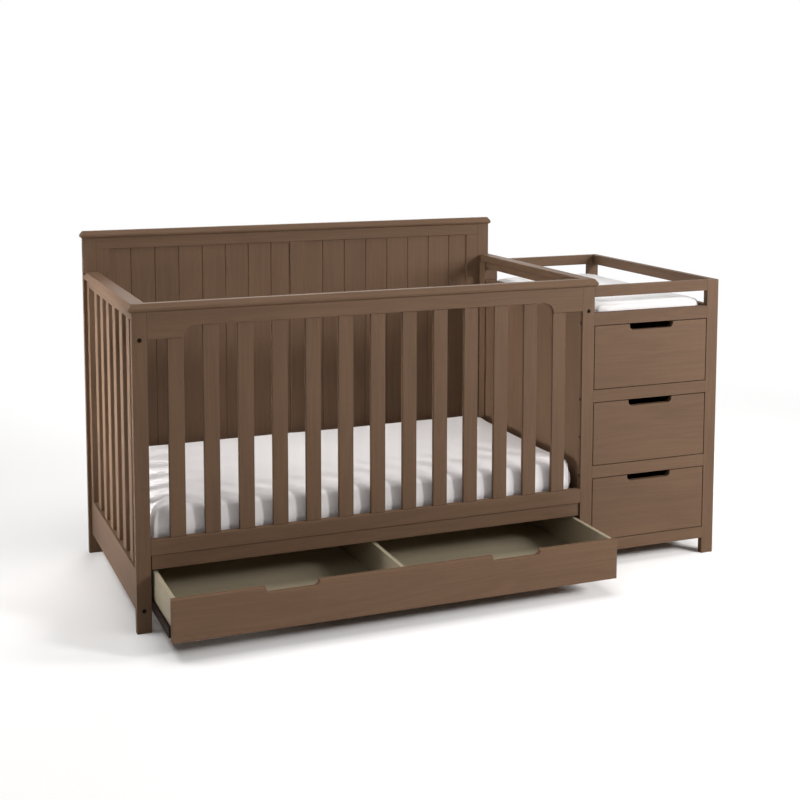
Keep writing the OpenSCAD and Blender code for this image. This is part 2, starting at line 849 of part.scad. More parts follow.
// A drawer front of size [w, h] with finger cut-outs in its top edge, its front face on y = 0
module drawer_front(w, h, cut_xs, cut_len, cut_deep) {
  r = min(grip_r, cut_deep - eps);
  translate([0, front_t, 0]) rotate([90, 0, 0]) linear_extrude(front_t) difference() {
    square([w, h]);
    for (x = cut_xs) translate([x, h]) {
      translate([-cut_len / 2 + r, -cut_deep]) square([cut_len - 2 * r, cut_deep + eps]);
      translate([-cut_len / 2, r - cut_deep]) square([cut_len, cut_deep - r + eps]);
      for (s = [-1, 1]) translate([s * (cut_len / 2 - r), r - cut_deep]) circle(r = r);
    }
  }
}

// Two sides and a back, between x0 and x1, from y0 back to y1 and from z0 up to z1
module drawer_box(x0, x1, y0, y1, z0, z1) {
  board([x0, y0, z0], [x0 + box_t, y1, z1]);
  board([x1 - box_t, y0, z0], [x1, y1, z1]);
  board([x0 + box_t, y1 - box_t, z0], [x1 - box_t, y1, z1]);
}

module drawer_floor(x0, x1, y0, y1, z0) {
  board([x0 + box_t, y0, z0 + bottom_lift], [x1 - box_t, y1 - box_t, z0 + bottom_lift + bottom_t]);
}

module tower_front(i) {
  w = open_x1 - open_x0 - 2 * front_gap;
  color(stained_light) placed() translate([open_x0 + front_gap, 0, bays_z0 + i * bay_pitch + front_gap])
    drawer_front(w, bay_h - 2 * front_gap, [w / 2], grip_len, grip_depth);
}

box_x0 = open_x0 + runner_gap;
box_x1 = open_x1 - runner_gap;

module tower_box(i) {
  z0 = bays_z0 + i * bay_pitch + box_lift;
  color(raw_board) placed() {
    drawer_box(box_x0, box_x1, front_t, front_t + box_d, z0, z0 + box_h);
    drawer_floor(box_x0, box_x1, front_t, front_t + box_d, z0);
  }
}

module tower_bars(i) {
  color(dark_steel) placed() runner_pair(open_x0, open_x1, bays_z0 + i * bay_pitch + tower_bar_z)
    bar(tower_bar_t, tower_bar_h, front_t + channel_set, front_t + box_d);
}

module top_drawer_front() tower_front(2);
module middle_drawer_front() tower_front(1);
module bottom_drawer_front() tower_front(0);
module top_drawer_box() tower_box(2);
module middle_drawer_box() tower_box(1);
module bottom_drawer_box() tower_box(0);
module top_drawer_bars() tower_bars(2);
module middle_drawer_bars() tower_bars(1);
module bottom_drawer_bars() tower_bars(0);

module crib_drawer_front() {
  w = crib_front_x1 - crib_front_x0;
  grips = [w / 2 - crib_grip_x, w / 2 + crib_grip_x];
  color(stained) placed() translate([crib_front_x0, -crib_drawer_open, crib_front_z0])
    drawer_front(w, crib_front_h, grips, crib_grip_len, crib_grip_depth);
}

divider_x0 = crib_mid_x + divider_off - box_t / 2;

module crib_drawer_box() {
  color(raw_board) placed() {
    drawer_box(crib_box_x0, crib_box_x1, crib_box_y0, crib_box_y1, crib_box_z0, crib_box_z1);
    board([divider_x0, crib_box_y0, crib_box_z0 + bottom_lift + bottom_t],
          [divider_x0 + box_t, crib_box_y1 - box_t, crib_box_z1]);
  }
}

module crib_drawer_bottom() {
  color(raw_board) placed() drawer_floor(crib_box_x0, crib_box_x1, crib_box_y0, crib_box_y1, crib_box_z0);
}

module crib_drawer_bars() {
  color(dark_steel) placed() runner_pair(crib_box_x0 - runner_gap, crib_box_x1 + runner_gap, crib_bar_z)
    bar(crib_bar_t, crib_bar_h, crib_box_y0, crib_box_y1);
}

// ---------- Mattress support ----------

module mattress_support_frame() {
  color(pine) placed() difference() {
    board([support_x0, support_y0, support_z0], [support_x1, support_y1, support_slat_z0]);
    board([support_x0 + support_w, support_y0 + support_w, support_z0 - eps],
          [support_x1 - support_w, support_y1 - support_w, support_slat_z0 + eps]);
  }
}

module mattress_support_slats() {
  step = (support_x1 - support_x0 - support_w) / (support_slats_n - 1);
  color(pine) placed() for (i = [0 : support_slats_n - 1])
    board([support_x0 + i * step, support_y0, support_slat_z0],
          [support_x0 + i * step + support_w, support_y1, mattress_z0]);
}

// Width of a support bracket, and the height of its upright leg
bracket_w = 40;
bracket_leg = 34;

// Angle brackets on the left end's bottom rail and on the tower's wall
module support_brackets() {
  ys = [support_y0 + support_w + bracket_w, support_y1 - support_w - 2 * bracket_w];
  color(zinc) placed() for (y = ys)
    for (side = [[end_x1, 1], [wall_x0, -1]])
      translate([side[0], y, crib_base_z]) scale([side[1], 1, 1]) {
        board([0, 0, 0], [support_x0 - end_x1 + bracket_reach, bracket_w, bracket_t]);
        board([0, 0, -bracket_leg], [bracket_t, bracket_w, 0]);
      }
}

// ---------- Soft pieces ----------

// Straight steps in each corner and each side of a soft piece's outline
corner_steps = 5;
side_steps = 6;
// Angles of the rings round a soft piece's rounded edges
edge_turns = [0 : 22.5 : 90];
// Sizes of the rings on a soft piece's top, as shares of its outline
top_rings = [0.92, 0.78, 0.6, 0.4, 0.2];
// The dip in a top is full this many times its outline's half size inside the edge
dip_reach = 6;

// Outline of a rounded rectangle as [x, y, normal x, normal y], each corner followed by its next side
function slab_outline(l, w, r) = [
  for (q = [0 : 3])
    let (
      cx = (q == 0 || q == 3 ? 1 : -1) * (l / 2 - r),
      cy = (q < 2 ? 1 : -1) * (w / 2 - r),
      run = (q % 2 == 0 ? l : w) - 2 * r
    )
    each concat(
      [for (i = [0 : corner_steps])
        let (a = 90 * (q + i / corner_steps)) [cx + r * cos(a), cy + r * sin(a), cos(a), sin(a)]],
      [for (i = [1 : side_steps - 1])
        let (a = 90 * (q + 1), d = run * i / side_steps)
        [cx + r * cos(a) - d * sin(a), cy + r * sin(a) + d * cos(a), cos(a), sin(a)]]
    )
];

// A soft block: rounded edges, sides that swell at mid height and pull in between the corners, and a
// top that rises by crown in the middle and dips by dip between its long sides, which run along X
module soft_block(l, w, h, corner_r, edge_r, swell, pull_in, crown, dip) {
  outline = slab_outline(l, w, corner_r);
  n = len(outline);
  edge = [for (a = edge_turns) [swell + edge_r * (1 - sin(a)), edge_r * (1 - cos(a)), 1]];
  high = [for (i = [len(edge) - 1 : -1 : 0]) [edge[i][0], h - edge[i][1], 1]];
  inner = [for (shrink = top_rings) [swell + edge_r, h, shrink]];
  rings = concat(edge, [[0, h / 2, 1]], high, inner);
  m = len(rings);
  function waist(o) = pull_in
    * (pow(o[3], 2) * pow(1 - pow(2 * o[0] / l, 2), 2) + pow(o[2], 2) * pow(1 - pow(2 * o[1] / w, 2), 2));
  function dipped(y, shrink) = dip * (1 - pow(2 * abs(y) / w, 3)) * min(1, dip_reach * (1 - shrink));
  function rise(y, shrink) = shrink == 1 ? 0 : crown * (1 - shrink * shrink) - dipped(y, shrink);
  function ring_point(ring, o) =
    let (
      inset = ring[0] + waist(o),
      x = (o[0] - inset * o[2]) * ring[2],
      y = (o[1] - inset * o[3]) * ring[2]
    )
    [x, y, ring[1] + rise(y, ring[2])];
  points = concat(
    [for (ring = rings) for (o = outline) ring_point(ring, o)],
    [[0, 0, 0], [0, 0, h + crown - dip]]
  );
  faces = concat(
    [for (k = [0 : m - 2]) for (i = [0 : n - 1]) let (a = k * n + i, b = k * n + (i + 1) % n)
      each [[a, a + n, b + n], [a, b + n, b]]],
    [for (i = [0 : n - 1]) let (j = (i + 1) % n, top = (m - 1) * n)
      each [[m * n, i, j], [m * n + 1, top + j, top + i]]]
  );
  polyhedron(points, faces, 4);
}

mattress_corner_r = 34;
mattress_edge_r = 26;
mattress_swell = 5;
soft_pull_in = 3;

module mattress() {
  color(sheet_white) placed()
    translate([(mattress_x0 + mattress_x1) / 2, (mattress_y0 + mattress_y1) / 2, mattress_z0])
      soft_block(mattress_x1 - mattress_x0, mattress_y1 - mattress_y0, mattress_t, mattress_corner_r,
        mattress_edge_r, mattress_swell, soft_pull_in, mattress_crown, 0);
}

pad_corner_r = 50;
pad_edge_r = 11;
pad_swell = 2;

module changing_pad() {
  color(sheet_white) placed()
    translate([(pad_x0 + pad_x1) / 2, (pad_y0 + pad_y1) / 2, surface_top])
      rotate([0, 0, 90]) soft_block(pad_y1 - pad_y0, pad_x1 - pad_x0, pad_t, pad_corner_r, pad_edge_r,
        pad_swell, soft_pull_in, 0, pad_dip);
}

headboard_left_post();
headboard_right_post();
headboard_cap();
headboard_top_rail();
headboard_bottom_rail();
headboard_side_stiles();
headboard_centre_stile();
headboard_left_panel();
headboard_right_panel();
left_end_cap();
left_end_top_rail();
left_end_slats();
left_end_bottom_rail();
left_end_back_stile();
front_left_post();
front_corner_posts();
front_cap();
front_top_rail();
front_slats();
front_bottom_rail();
front_apron();
right_end_cap();
right_end_top_rail();
inner_rear_post();
tower_front_left_post();
tower_front_right_post();
tower_back_left_post();
tower_back_right_post();
tower_crib_side_panel();
tower_outer_side_panel();
tower_back_panel();
tower_back_rails();
tower_bottom_board();
changing_surface();
gallery_front_rail();
gallery_right_rail();
gallery_back_rail();
tower_front_rails();
runner_blocks();
runner_channels();
mattress_support_frame();
mattress_support_slats();
support_brackets();
frame_bolts();
cross_nuts();
crib_drawer_front();
crib_drawer_box();
crib_drawer_bottom();
crib_drawer_bars();
top_drawer_front();
top_drawer_box();
middle_drawer_front();
middle_drawer_box();
bottom_drawer_front();
bottom_drawer_box();
top_drawer_bars();
middle_drawer_bars();
bottom_drawer_bars();
mattress();
changing_pad();
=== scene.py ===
"""A stained wood crib with a changing tower, shown with its wide drawer standing open."""

import json
import math
import random

import bmesh
import bpy
from mathutils import Matrix, Vector, noise


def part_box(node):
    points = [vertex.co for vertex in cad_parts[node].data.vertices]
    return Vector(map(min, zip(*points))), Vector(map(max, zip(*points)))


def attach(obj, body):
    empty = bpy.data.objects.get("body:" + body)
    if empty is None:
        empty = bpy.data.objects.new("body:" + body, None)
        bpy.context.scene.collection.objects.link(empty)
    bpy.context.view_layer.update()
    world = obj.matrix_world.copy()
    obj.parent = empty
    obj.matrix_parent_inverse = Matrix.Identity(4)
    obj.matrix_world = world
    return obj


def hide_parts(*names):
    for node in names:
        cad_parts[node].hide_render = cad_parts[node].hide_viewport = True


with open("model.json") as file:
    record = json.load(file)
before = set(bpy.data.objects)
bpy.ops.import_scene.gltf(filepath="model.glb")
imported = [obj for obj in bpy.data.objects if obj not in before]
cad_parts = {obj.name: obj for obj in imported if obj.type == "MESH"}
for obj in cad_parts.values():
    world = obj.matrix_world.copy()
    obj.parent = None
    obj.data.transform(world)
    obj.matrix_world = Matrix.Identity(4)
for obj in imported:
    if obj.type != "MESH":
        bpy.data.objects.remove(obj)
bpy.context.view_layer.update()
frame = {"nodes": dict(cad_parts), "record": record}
scene = bpy.context.scene
scene.view_settings.view_transform = "Standard"

# ---------- Named values: lengths in metres, colours linear ----------

CAMERA_PLACE = (-1.6158, -3.8551, 1.4543)
CAMERA_TURN = -21.710       # degrees from looking along +Y
CAMERA_TILT = -5.864        # degrees above level, so it looks slightly down
CAMERA_LENS = 61.136        # millimetres
CAMERA_SENSOR = 36          # millimetres wide
CAMERA_SHIFT = (0.0148, -0.2)

# Round soft lights: name, place, what it faces, width, watts, spread in degrees
LIGHTS = (
    ("key", (2.9, -3.9, 2.4), (0.2, 0, 0.4), 0.8, 134, 180),
    ("near", (2.6, -1.9, 1.5), (0.6, -0.3, 0.5), 0.9, 58, 180),
    ("top", (0.1, -0.6, 5.0), (0.1, 0.1, 0.5), 3.2, 94, 180),
    ("left", (-3.4, 0.2, 0.7), (-0.93, 0.15, 0.6), 0.6, 6.2, 30),
    ("high_left", (-2.2, 0.2, 3.2), (-1.0, 0.1, 0.3), 1.2, 40, 180),
    ("front", (-2.0, -3.6, 2.8), (0, 0, 0.4), 1.4, 20, 180),
    ("back", (0.8, 3.8, 1.8), (0.1, 0.3, 0.5), 3.0, 105, 180),
)
SKY_STRENGTH = 0.07
WHITE = (1, 1, 1, 1)
FLOOR_WHITE = (0.86, 0.85, 0.845)
FLOOR_GAIN = 1.14           # how much brighter the camera sees the floor than it lights things
FLOOR_REACH = 14            # from its middle to each side
FLOOR_FADE = (1.7, 3.4)     # how far from its middle it starts to turn white, and is white

# In each finish, RANGE is the shares of its colour that it runs between, and BUMP is the strength
# and depth of its relief. Its streaks are the changes per metre along X, Y and Z, the octaves,
# and the waviness if they have any.
STREAK_ROUGHNESS = 0.55

STAIN = (0.106, 0.0601, 0.0337)
WOOD_DARK = (0.70, (1.0, 0.97, 0.95))       # the darkest and palest streaks: share and tint
WOOD_PALE = (1.30, (1.0, 1.02, 1.04))
WOOD_ENDS = (0.12, 0.88)                    # the shades at which these are reached
WOOD_TONES = (0.97, 1.03)                   # one piece differs from another by this much
ROW_TONES = (0.95, 1.05)                    # and one board from the next in a row
BOARD_TONES = {"crib_drawer_front": 1.15}   # how much paler a board is than the others
GRAIN_SHIFT = 9                             # how far the grain of a piece may be moved
ROW_SHIFT = 7.0                             # and further for each board in a row
BEFORE_ALL = -50.0                          # lower than any board
PAST_ALL = 200.0                            # a step that takes in the whole crib
WOOD_GLOSS = 0.2
WOOD_ROUGHNESS = (0.60, 0.72)
# Here the changes per metre are along and across the grain
WOOD_STREAKS = (
    (9, 380, 4, 0.0),       # fibre
    (48, 1300, 1, 0.0),     # pores
    (1.1, 17, 2, 0.6),      # growth
    (2.0, 7, 2, 0.0),       # cloud
)
WOOD_RINGS = 48.0
PORE_ENDS = (0.60, 0.70)    # pores show where their streaks pass the first, in full at the second
# What each adds to the shade, on top of the start
SHADE_START = 0.10
FIBRE_SHARE = 0.38
RING_SHARE = 0.055
CLOUD_SHARE = 0.42
PORE_SHARE = -0.20
PORE_DEPTH = -0.5           # against the fibres' height
WOOD_BUMP = (0.25, 0.0003)

BOARD_CREAM = (0.31, 0.265, 0.185)
CREAM_RANGE = (0.88, 1.08)
BOARD_BACK = (0.110, 0.062, 0.034)
BACK_RANGE = (0.8, 1.2)
BOARD_FIBRE = ((300, 7, 300), 4)
BOARD_BUMP = (0.1, 0.0002)
FACES_DOWN = -0.7           # a face that looks down more than this is an underside
MIX_COLOURS = (6, 7)        # a colour mix's two input sockets, and its output socket
MIX_RESULT = 2

PINE = (0.50, 0.355, 0.205)
PINE_RING_TINT = (0.80, 0.72, 0.62)
PINE_PALE = 1.12
PINE_GROWTH = ((26, 1.6, 26), 2, 0.5)
PINE_FIBRE = ((420, 12, 420), 3)
PINE_RINGS = 60.0
PINE_SHADE = (0.3, 0.4, 0.22)               # start, and what the fibres and the rings add to it
PINE_BUMP = (0.2, 0.0003)

DARK_STEEL = (0.012, 0.0065, 0.0042)
DARK_STEEL_RANGE = (0.8, 1.3)
PEEL = ((900, 900, 900), 2)
PEEL_BUMP = (0.15, 0.0001)

ZINC = (0.52, 0.52, 0.50)
ZINC_RANGE = (0.85, 1.1)
ZINC_FLAKES = 260.0         # a metre
ZINC_ROUGHNESS = (0.3, 0.45)

SHEET_WHITE = (0.765, 0.735, 0.73)
SHEET_THREAD = 0.0007       # from one thread to the next
SHEET_SHEEN = 0.15
PAD_WHITE = (0.725, 0.705, 0.695)
PAD_THREAD = 0.0011
PAD_SHEEN = 0.3
COTTON_RANGE = (0.94, 1.03)
COTTON_CLOUD = ((9, 9, 9), 3)
COTTON_SLUB = ((60, 900, 300), 2)
COTTON_BUMP = 0.12

EASED_EDGE = 0.0014         # radius of the eased edges of every board
TIGHT_EDGE = 0.0006         # and of the fronts and panels whose joints show as fine dark lines
STEEL_EDGE = 0.0004
EASE_STEPS = 2
FLAT_ANGLE = 0.5            # degrees: triangles that meet at less are one face
EDGE_ANGLE = 40             # degrees: faces that meet at more have an edge to ease
MERGE = 0.00001

# Each padded piece: how far it starts inside its final size, its voxels, how much fuller than its
# solid it ends up each way, its rumples (height and length of the long waves, height and reach of
# the corner folds), and how full it is stuffed
MATTRESS = {
    "inset": 0.005, "voxel": 0.012, "fuller": (0.002, 0.001, 0.006),
    "rumples": (0.0020, 0.18, 0.0026, 0.11), "fill": 0.9,
}
PAD = {
    "inset": 0.004, "voxel": 0.006, "fuller": (0.008, 0.006, 0.009),
    "rumples": (0.0010, 0.09, 0.0008, 0.05), "fill": 0.8,
}
SWELL_FRAMES = 20
SWELL_PRESSURE = 4.0
SWELL_QUALITY = 4
SWELL_ROOM = 1.5            # how far a point may move, against the inset
INWARD_SHARE = 0.2          # a cover may draw in by this share of what it may swell out
FOLDS_ROUND = 15            # in a full turn round a corner
FOLD_LEAN = 3               # how much they slant with height
CHANNEL_IN = (0.085, 0.06)  # from the pad's sides and ends to its sewn channels
CHANNEL_WIDTH = 0.014
CHANNEL_DEPTH = 0.003
SEAM_RADIUS = 0.0009
SEAM_SIDES = 6
SEAM_STEP = 0.006
MATTRESS_SEAM_ENDS = (0.01, 0.03)           # above the underside, and below the top
PAD_SEAM_HEIGHT = 0.018

NUT_FACES = ((-0.88525, 1), (0.45125, -1))  # the posts' inner faces, and which way along X
NUT_Y = -0.2585
NUT_HEIGHTS = (0.301, 0.422, 0.540, 0.777)
NUT_SIDES = 20
# Half of a nut's section: how far out of the post's face, and the radius
NUT_SECTION = (
    (-0.009, 0), (-0.009, 0.003), (0.0008, 0.003), (0.0012, 0.0036), (0.0012, 0.0054),
    (0.0007, 0.0060), (-0.0001, 0.0060), (-0.0001, 0.0038), (-0.010, 0.0038), (-0.010, 0),
)

TIGHT = ("tower_front", "top_drawer", "middle_drawer", "bottom_drawer",
         "headboard_left_panel", "headboard_right_panel")
SLAT_ROWS = {               # the row's axis, and its width in steps from slat to slat
    "front_slats": (0, 12.45),
    "left_end_slats": (1, 5.41),
}
SLAT_LEAD = 0.25            # a row's first step starts this share of a step before its first slat
PLANK_PITCH = 0.0778
PLANKS_TO_MIDDLE = 4        # in each of the headboard's panels
# Boards that run along X or Y; every other stained board stands upright
ALONG_X = (
    "headboard_cap", "headboard_top_rail", "headboard_bottom_rail", "front_cap",
    "front_top_rail", "front_bottom_rail", "front_apron", "gallery_front_rail",
    "gallery_back_rail", "tower_front_rails", "tower_back_rails", "crib_drawer_front",
    "top_drawer_front", "middle_drawer_front", "bottom_drawer_front",
)
ALONG_Y = (
    "left_end_cap", "left_end_top_rail", "left_end_bottom_rail", "right_end_cap",
    "right_end_top_rail", "gallery_right_rail", "tower_bottom_board", "changing_surface",
)


# ---------- New objects and shader nodes ----------

def placed(name, data):
    """A new object in the scene, at the origin."""
    made = bpy.data.objects.new(name, data)
    scene.collection.objects.link(made)
    return made


def mesh_from(bm, name):
    mesh = bpy.data.meshes.new(name)
    bm.to_mesh(mesh)
    bm.free()
    return mesh


def node(tree, kind, inputs=(), **settings):
    """A shader node with its settings, and its inputs linked to sockets or set to values."""
    made = tree.nodes.new(kind)
    for key, value in settings.items():
        setattr(made, key, value)
    for key, value in dict(inputs).items():
        if isinstance(value, bpy.types.NodeSocket):
            tree.links.new(value, made.inputs[key])
        else:
            made.inputs[key].default_value = value
    return made


def math_node(tree, operation, *values):
    return node(tree, "ShaderNodeMath", dict(enumerate(values)), operation=operation).outputs[0]


def vector_node(tree, operation, *values, **named):
    inputs = {**dict(enumerate(values)), **named}
    return node(tree, "ShaderNodeVectorMath", inputs, operation=operation).outputs[0]


def graded(tree, value, start, end, low=0.0, high=1.0, kind="LINEAR"):
    """Goes from low to high as value goes from start to end."""
    return node(tree, "ShaderNodeMapRange", {
        "Value": value, "From Min": start, "From Max": end, "To Min": low, "To Max": high,
    }, interpolation_type=kind).outputs["Result"]


def mixed(tree, share, one, two):
    """The shader one, turning into two as share goes from 0 to 1."""
    return node(tree, "ShaderNodeMixShader", {0: share, 1: one, 2: two}).outputs[0]


def object_place(tree):
    return node(tree, "ShaderNodeTexCoord").outputs["Object"]


def seen_plainly(tree):
    """1 for what the camera, a reflection or clear stuff sees, 0 for light that falls on things."""
    path = node(tree, "ShaderNodeLightPath").outputs
    seen = math_node(tree, "MAXIMUM", path["Is Camera Ray"], path["Is Glossy Ray"])
    return math_node(tree, "MAXIMUM", seen, path["Is Transmission Ray"])


# ---------- Camera, light and floor ----------

def make_camera():
    lens = bpy.data.cameras.new("camera")
    lens.sensor_width = CAMERA_SENSOR
    lens.lens = CAMERA_LENS
    lens.shift_x, lens.shift_y = CAMERA_SHIFT
    camera = placed("camera", lens)
    camera.location = CAMERA_PLACE
    camera.rotation_euler = (math.radians(90 + CAMERA_TILT), 0, math.radians(CAMERA_TURN))
    scene.camera = camera


def soft_light(name, place, aim, size, watts, spread):
    lamp = bpy.data.lights.new(name, "AREA")
    lamp.shape = "DISK"
    lamp.size = size
    lamp.energy = watts
    lamp.spread = math.radians(spread)
    light = placed(name, lamp)
    light.location = place
    light.rotation_euler = (Vector(aim) - Vector(place)).to_track_quat("-Z", "Y").to_euler()


def make_world():
    """White to look at, and a faint fill for what it lights."""
    world = bpy.data.worlds.new("studio")
    world.use_nodes = True
    scene.world = world
    tree = world.node_tree
    tree.nodes.clear()
    fill, white = (
        node(tree, "ShaderNodeBackground", {"Color": WHITE, "Strength": strength}).outputs[0]
        for strength in (SKY_STRENGTH, 1.0))
    sky = mixed(tree, seen_plainly(tree), fill, white)
    node(tree, "ShaderNodeOutputWorld", {"Surface": sky})


def floor_finish():
    """Matt white, which far from the crib turns into the white background."""
    finish = bpy.data.materials.new("floor")
    finish.use_nodes = True
    tree = finish.node_tree
    tree.nodes.clear()
    plainly = seen_plainly(tree)
    lit, bright = (
        node(tree, "ShaderNodeBsdfDiffuse", {"Color": shaded(FLOOR_WHITE, gain)}).outputs[0]
        for gain in (1, FLOOR_GAIN))
    near = mixed(tree, plainly, lit, bright)
    away = node(tree, "ShaderNodeVectorMath", {0: object_place(tree)}, operation="LENGTH")
    fade = graded(tree, away.outputs["Value"], *FLOOR_FADE, kind="SMOOTHSTEP")
    seen_fade = math_node(tree, "MULTIPLY", fade, plainly)
    white = node(tree, "ShaderNodeEmission", {"Color": WHITE, "Strength": 1.0}).outputs[0]
    whole = mixed(tree, seen_fade, near, white)
    node(tree, "ShaderNodeOutputMaterial", {"Surface": whole})
    return finish


def make_floor():
    bm = bmesh.new()
    bmesh.ops.create_grid(bm, x_segments=1, y_segments=1, size=FLOOR_REACH)
    floor = placed("floor", mesh_from(bm, "floor"))
    paint(floor, floor_finish())


# ---------- Finishes ----------

SOCKETS = {
    "specular": "Specular IOR Level", "ior": "IOR", "roughness": "Roughness",
    "metallic": "Metallic", "sheen": "Sheen Weight", "sheen_roughness": "Sheen Roughness",
}


def new_finish(name, **sockets):
    """A material, its node tree and its shader, with a constant for each socket that is named."""
    made = bpy.data.materials.new(name)
    made.use_nodes = True
    shader = made.node_tree.nodes["Principled BSDF"]
    for key, value in sockets.items():
        shader.inputs[SOCKETS[key]].default_value = value
    return made, made.node_tree, shader


def paint(piece, finish):
    piece.data.materials.clear()
    piece.data.materials.append(finish)


def shaded(colour, share, tint=(1, 1, 1)):
    """A colour made darker or paler by its share, and by the tint on each channel."""
    return (*[min(1, c * share * t) for c, t in zip(colour, tint)], 1)


def two_tones(tree, by, dark, pale, ends=(0, 1)):
    """Colour that goes from dark to pale as by goes from the first of ends to the second."""
    ramp = node(tree, "ShaderNodeValToRGB", {"Fac": by})
    for stop, place, colour in zip(ramp.color_ramp.elements, ends, (dark, pale)):
        stop.position = place
        stop.color = colour
    return ramp.outputs["Color"]


def colour_by(tree, shader, by, colour, shares):
    """Colours the shader with a colour that varies between two shares of itself."""
    tones = two_tones(tree, by, *(shaded(colour, share) for share in shares))
    tree.links.new(tones, shader.inputs["Base Color"])


def raise_by(tree, shader, height, strength, depth):
    bump = node(tree, "ShaderNodeBump", {
        "Height": height, "Strength": strength, "Distance": depth})
    tree.links.new(bump.outputs[0], shader.inputs["Normal"])


def streaks(tree, place, scale, detail, waviness=0.0):
    """Noise that is drawn out along a board: scale is its changes per metre on each axis."""
    drawn = node(tree, "ShaderNodeMapping", {"Vector": place, "Scale": scale}).outputs[0]
    return node(tree, "ShaderNodeTexNoise", {
        "Vector": drawn, "Scale": 1.0, "Detail": detail, "Roughness": STREAK_ROUGHNESS,
        "Distortion": waviness}).outputs["Fac"]


def across(axis, along, wide):
    """Changes per metre, few along the grain axis and many across it."""
    return tuple(along if i == axis else wide for i in range(3))


def boards_apart(tree, place, boards):
    """For each board of a row, a shift of its grain and a tone. boards is the row's axis, the
    pitch of its boards and where the first one starts."""
    row_axis, pitch, start = boards
    begin = tuple(start if i == row_axis else BEFORE_ALL for i in range(3))
    step = tuple(pitch if i == row_axis else PAST_ALL for i in range(3))
    number = vector_node(tree, "SNAP", vector_node(tree, "SUBTRACT", place, begin), step)
    draw = node(tree, "ShaderNodeTexWhiteNoise", {"Vector": number},
                noise_dimensions="3D").outputs
    shift = vector_node(tree, "SCALE", draw["Color"], Scale=ROW_SHIFT)
    return shift, graded(tree, draw["Value"], 0, 1, *ROW_TONES)


def stained_wood(name, axis, boards=None):
    """Brown stain under satin lacquer on close-grained wood whose grain runs along axis."""
    finish, tree, shader = new_finish("stained_" + name, specular=WOOD_GLOSS)
    chance = random.Random(name)
    place = object_place(tree)
    tone = chance.uniform(*WOOD_TONES) * BOARD_TONES.get(name, 1)
    shift = tuple(chance.uniform(-GRAIN_SHIFT, GRAIN_SHIFT) for _ in range(3))
    moved = node(tree, "ShaderNodeMapping", {"Vector": place, "Location": shift}).outputs[0]
    board_tone = 1.0
    if boards:
        board_shift, board_tone = boards_apart(tree, place, boards)
        moved = vector_node(tree, "ADD", moved, board_shift)
    fibre, pores, growth, cloud = (
        streaks(tree, moved, across(axis, along, wide), detail, waviness)
        for along, wide, detail, waviness in WOOD_STREAKS)
    rings = math_node(tree, "SINE", math_node(tree, "MULTIPLY", growth, WOOD_RINGS))
    open_pores = graded(tree, pores, *PORE_ENDS)

    shade = math_node(tree, "MULTIPLY_ADD", fibre, FIBRE_SHARE, SHADE_START)
    for layer, share in ((rings, RING_SHARE), (cloud, CLOUD_SHARE), (open_pores, PORE_SHARE)):
        shade = math_node(tree, "MULTIPLY_ADD", layer, share, shade)
    dark, pale = (shaded(STAIN, share * tone, tint) for share, tint in (WOOD_DARK, WOOD_PALE))
    stain = two_tones(tree, shade, dark, pale, WOOD_ENDS)
    toned = vector_node(tree, "SCALE", stain, Scale=board_tone)
    tree.links.new(toned, shader.inputs["Base Color"])
    tree.links.new(graded(tree, fibre, 0, 1, *WOOD_ROUGHNESS), shader.inputs["Roughness"])
    height = math_node(tree, "MULTIPLY_ADD", open_pores, PORE_DEPTH, fibre)
    raise_by(tree, shader, height, *WOOD_BUMP)
    return finish


def drawer_board():
    """Cream foil with a faint straight grain, on board whose underside is bare and brown."""
    finish, tree, shader = new_finish("drawer_board", ior=1.45, roughness=0.5)
    fibre = streaks(tree, object_place(tree), *BOARD_FIBRE)
    foil = two_tones(tree, fibre, *(shaded(BOARD_CREAM, share) for share in CREAM_RANGE))
    bare = two_tones(tree, fibre, *(shaded(BOARD_BACK, share) for share in BACK_RANGE))
    outwards = node(tree, "ShaderNodeNewGeometry").outputs["True Normal"]
    upwards = node(tree, "ShaderNodeSeparateXYZ", {0: outwards}).outputs["Z"]
    below = math_node(tree, "LESS_THAN", upwards, FACES_DOWN)
    both = node(tree, "ShaderNodeMix", {"Factor": below, **dict(zip(MIX_COLOURS, (foil, bare)))},
                data_type="RGBA")
    tree.links.new(both.outputs[MIX_RESULT], shader.inputs["Base Color"])
    raise_by(tree, shader, fibre, *BOARD_BUMP)
    return finish


def plain_pine():
    """Planed pine with pale and reddish rings."""
    finish, tree, shader = new_finish("plain_pine", ior=1.45, roughness=0.62)
    place = object_place(tree)
    growth = streaks(tree, place, *PINE_GROWTH)
    rings = math_node(tree, "SINE", math_node(tree, "MULTIPLY", growth, PINE_RINGS))
    fibre = streaks(tree, place, *PINE_FIBRE)
    start, fibre_share, ring_share = PINE_SHADE
    shade = math_node(tree, "MULTIPLY_ADD", fibre, fibre_share, start)
    shade = math_node(tree, "MULTIPLY_ADD", rings, ring_share, shade)
    tones = two_tones(tree, shade, shaded(PINE, 1, PINE_RING_TINT), shaded(PINE, PINE_PALE))
    tree.links.new(tones, shader.inputs["Base Color"])
    raise_by(tree, shader, fibre, *PINE_BUMP)
    return finish


def dark_steel():
    """Brown-black coated steel with a fine orange peel."""
    finish, tree, shader = new_finish("dark_steel", specular=0.05, roughness=0.6)
    peel = streaks(tree, object_place(tree), *PEEL)
    colour_by(tree, shader, peel, DARK_STEEL, DARK_STEEL_RANGE)
    raise_by(tree, shader, peel, *PEEL_BUMP)
    return finish


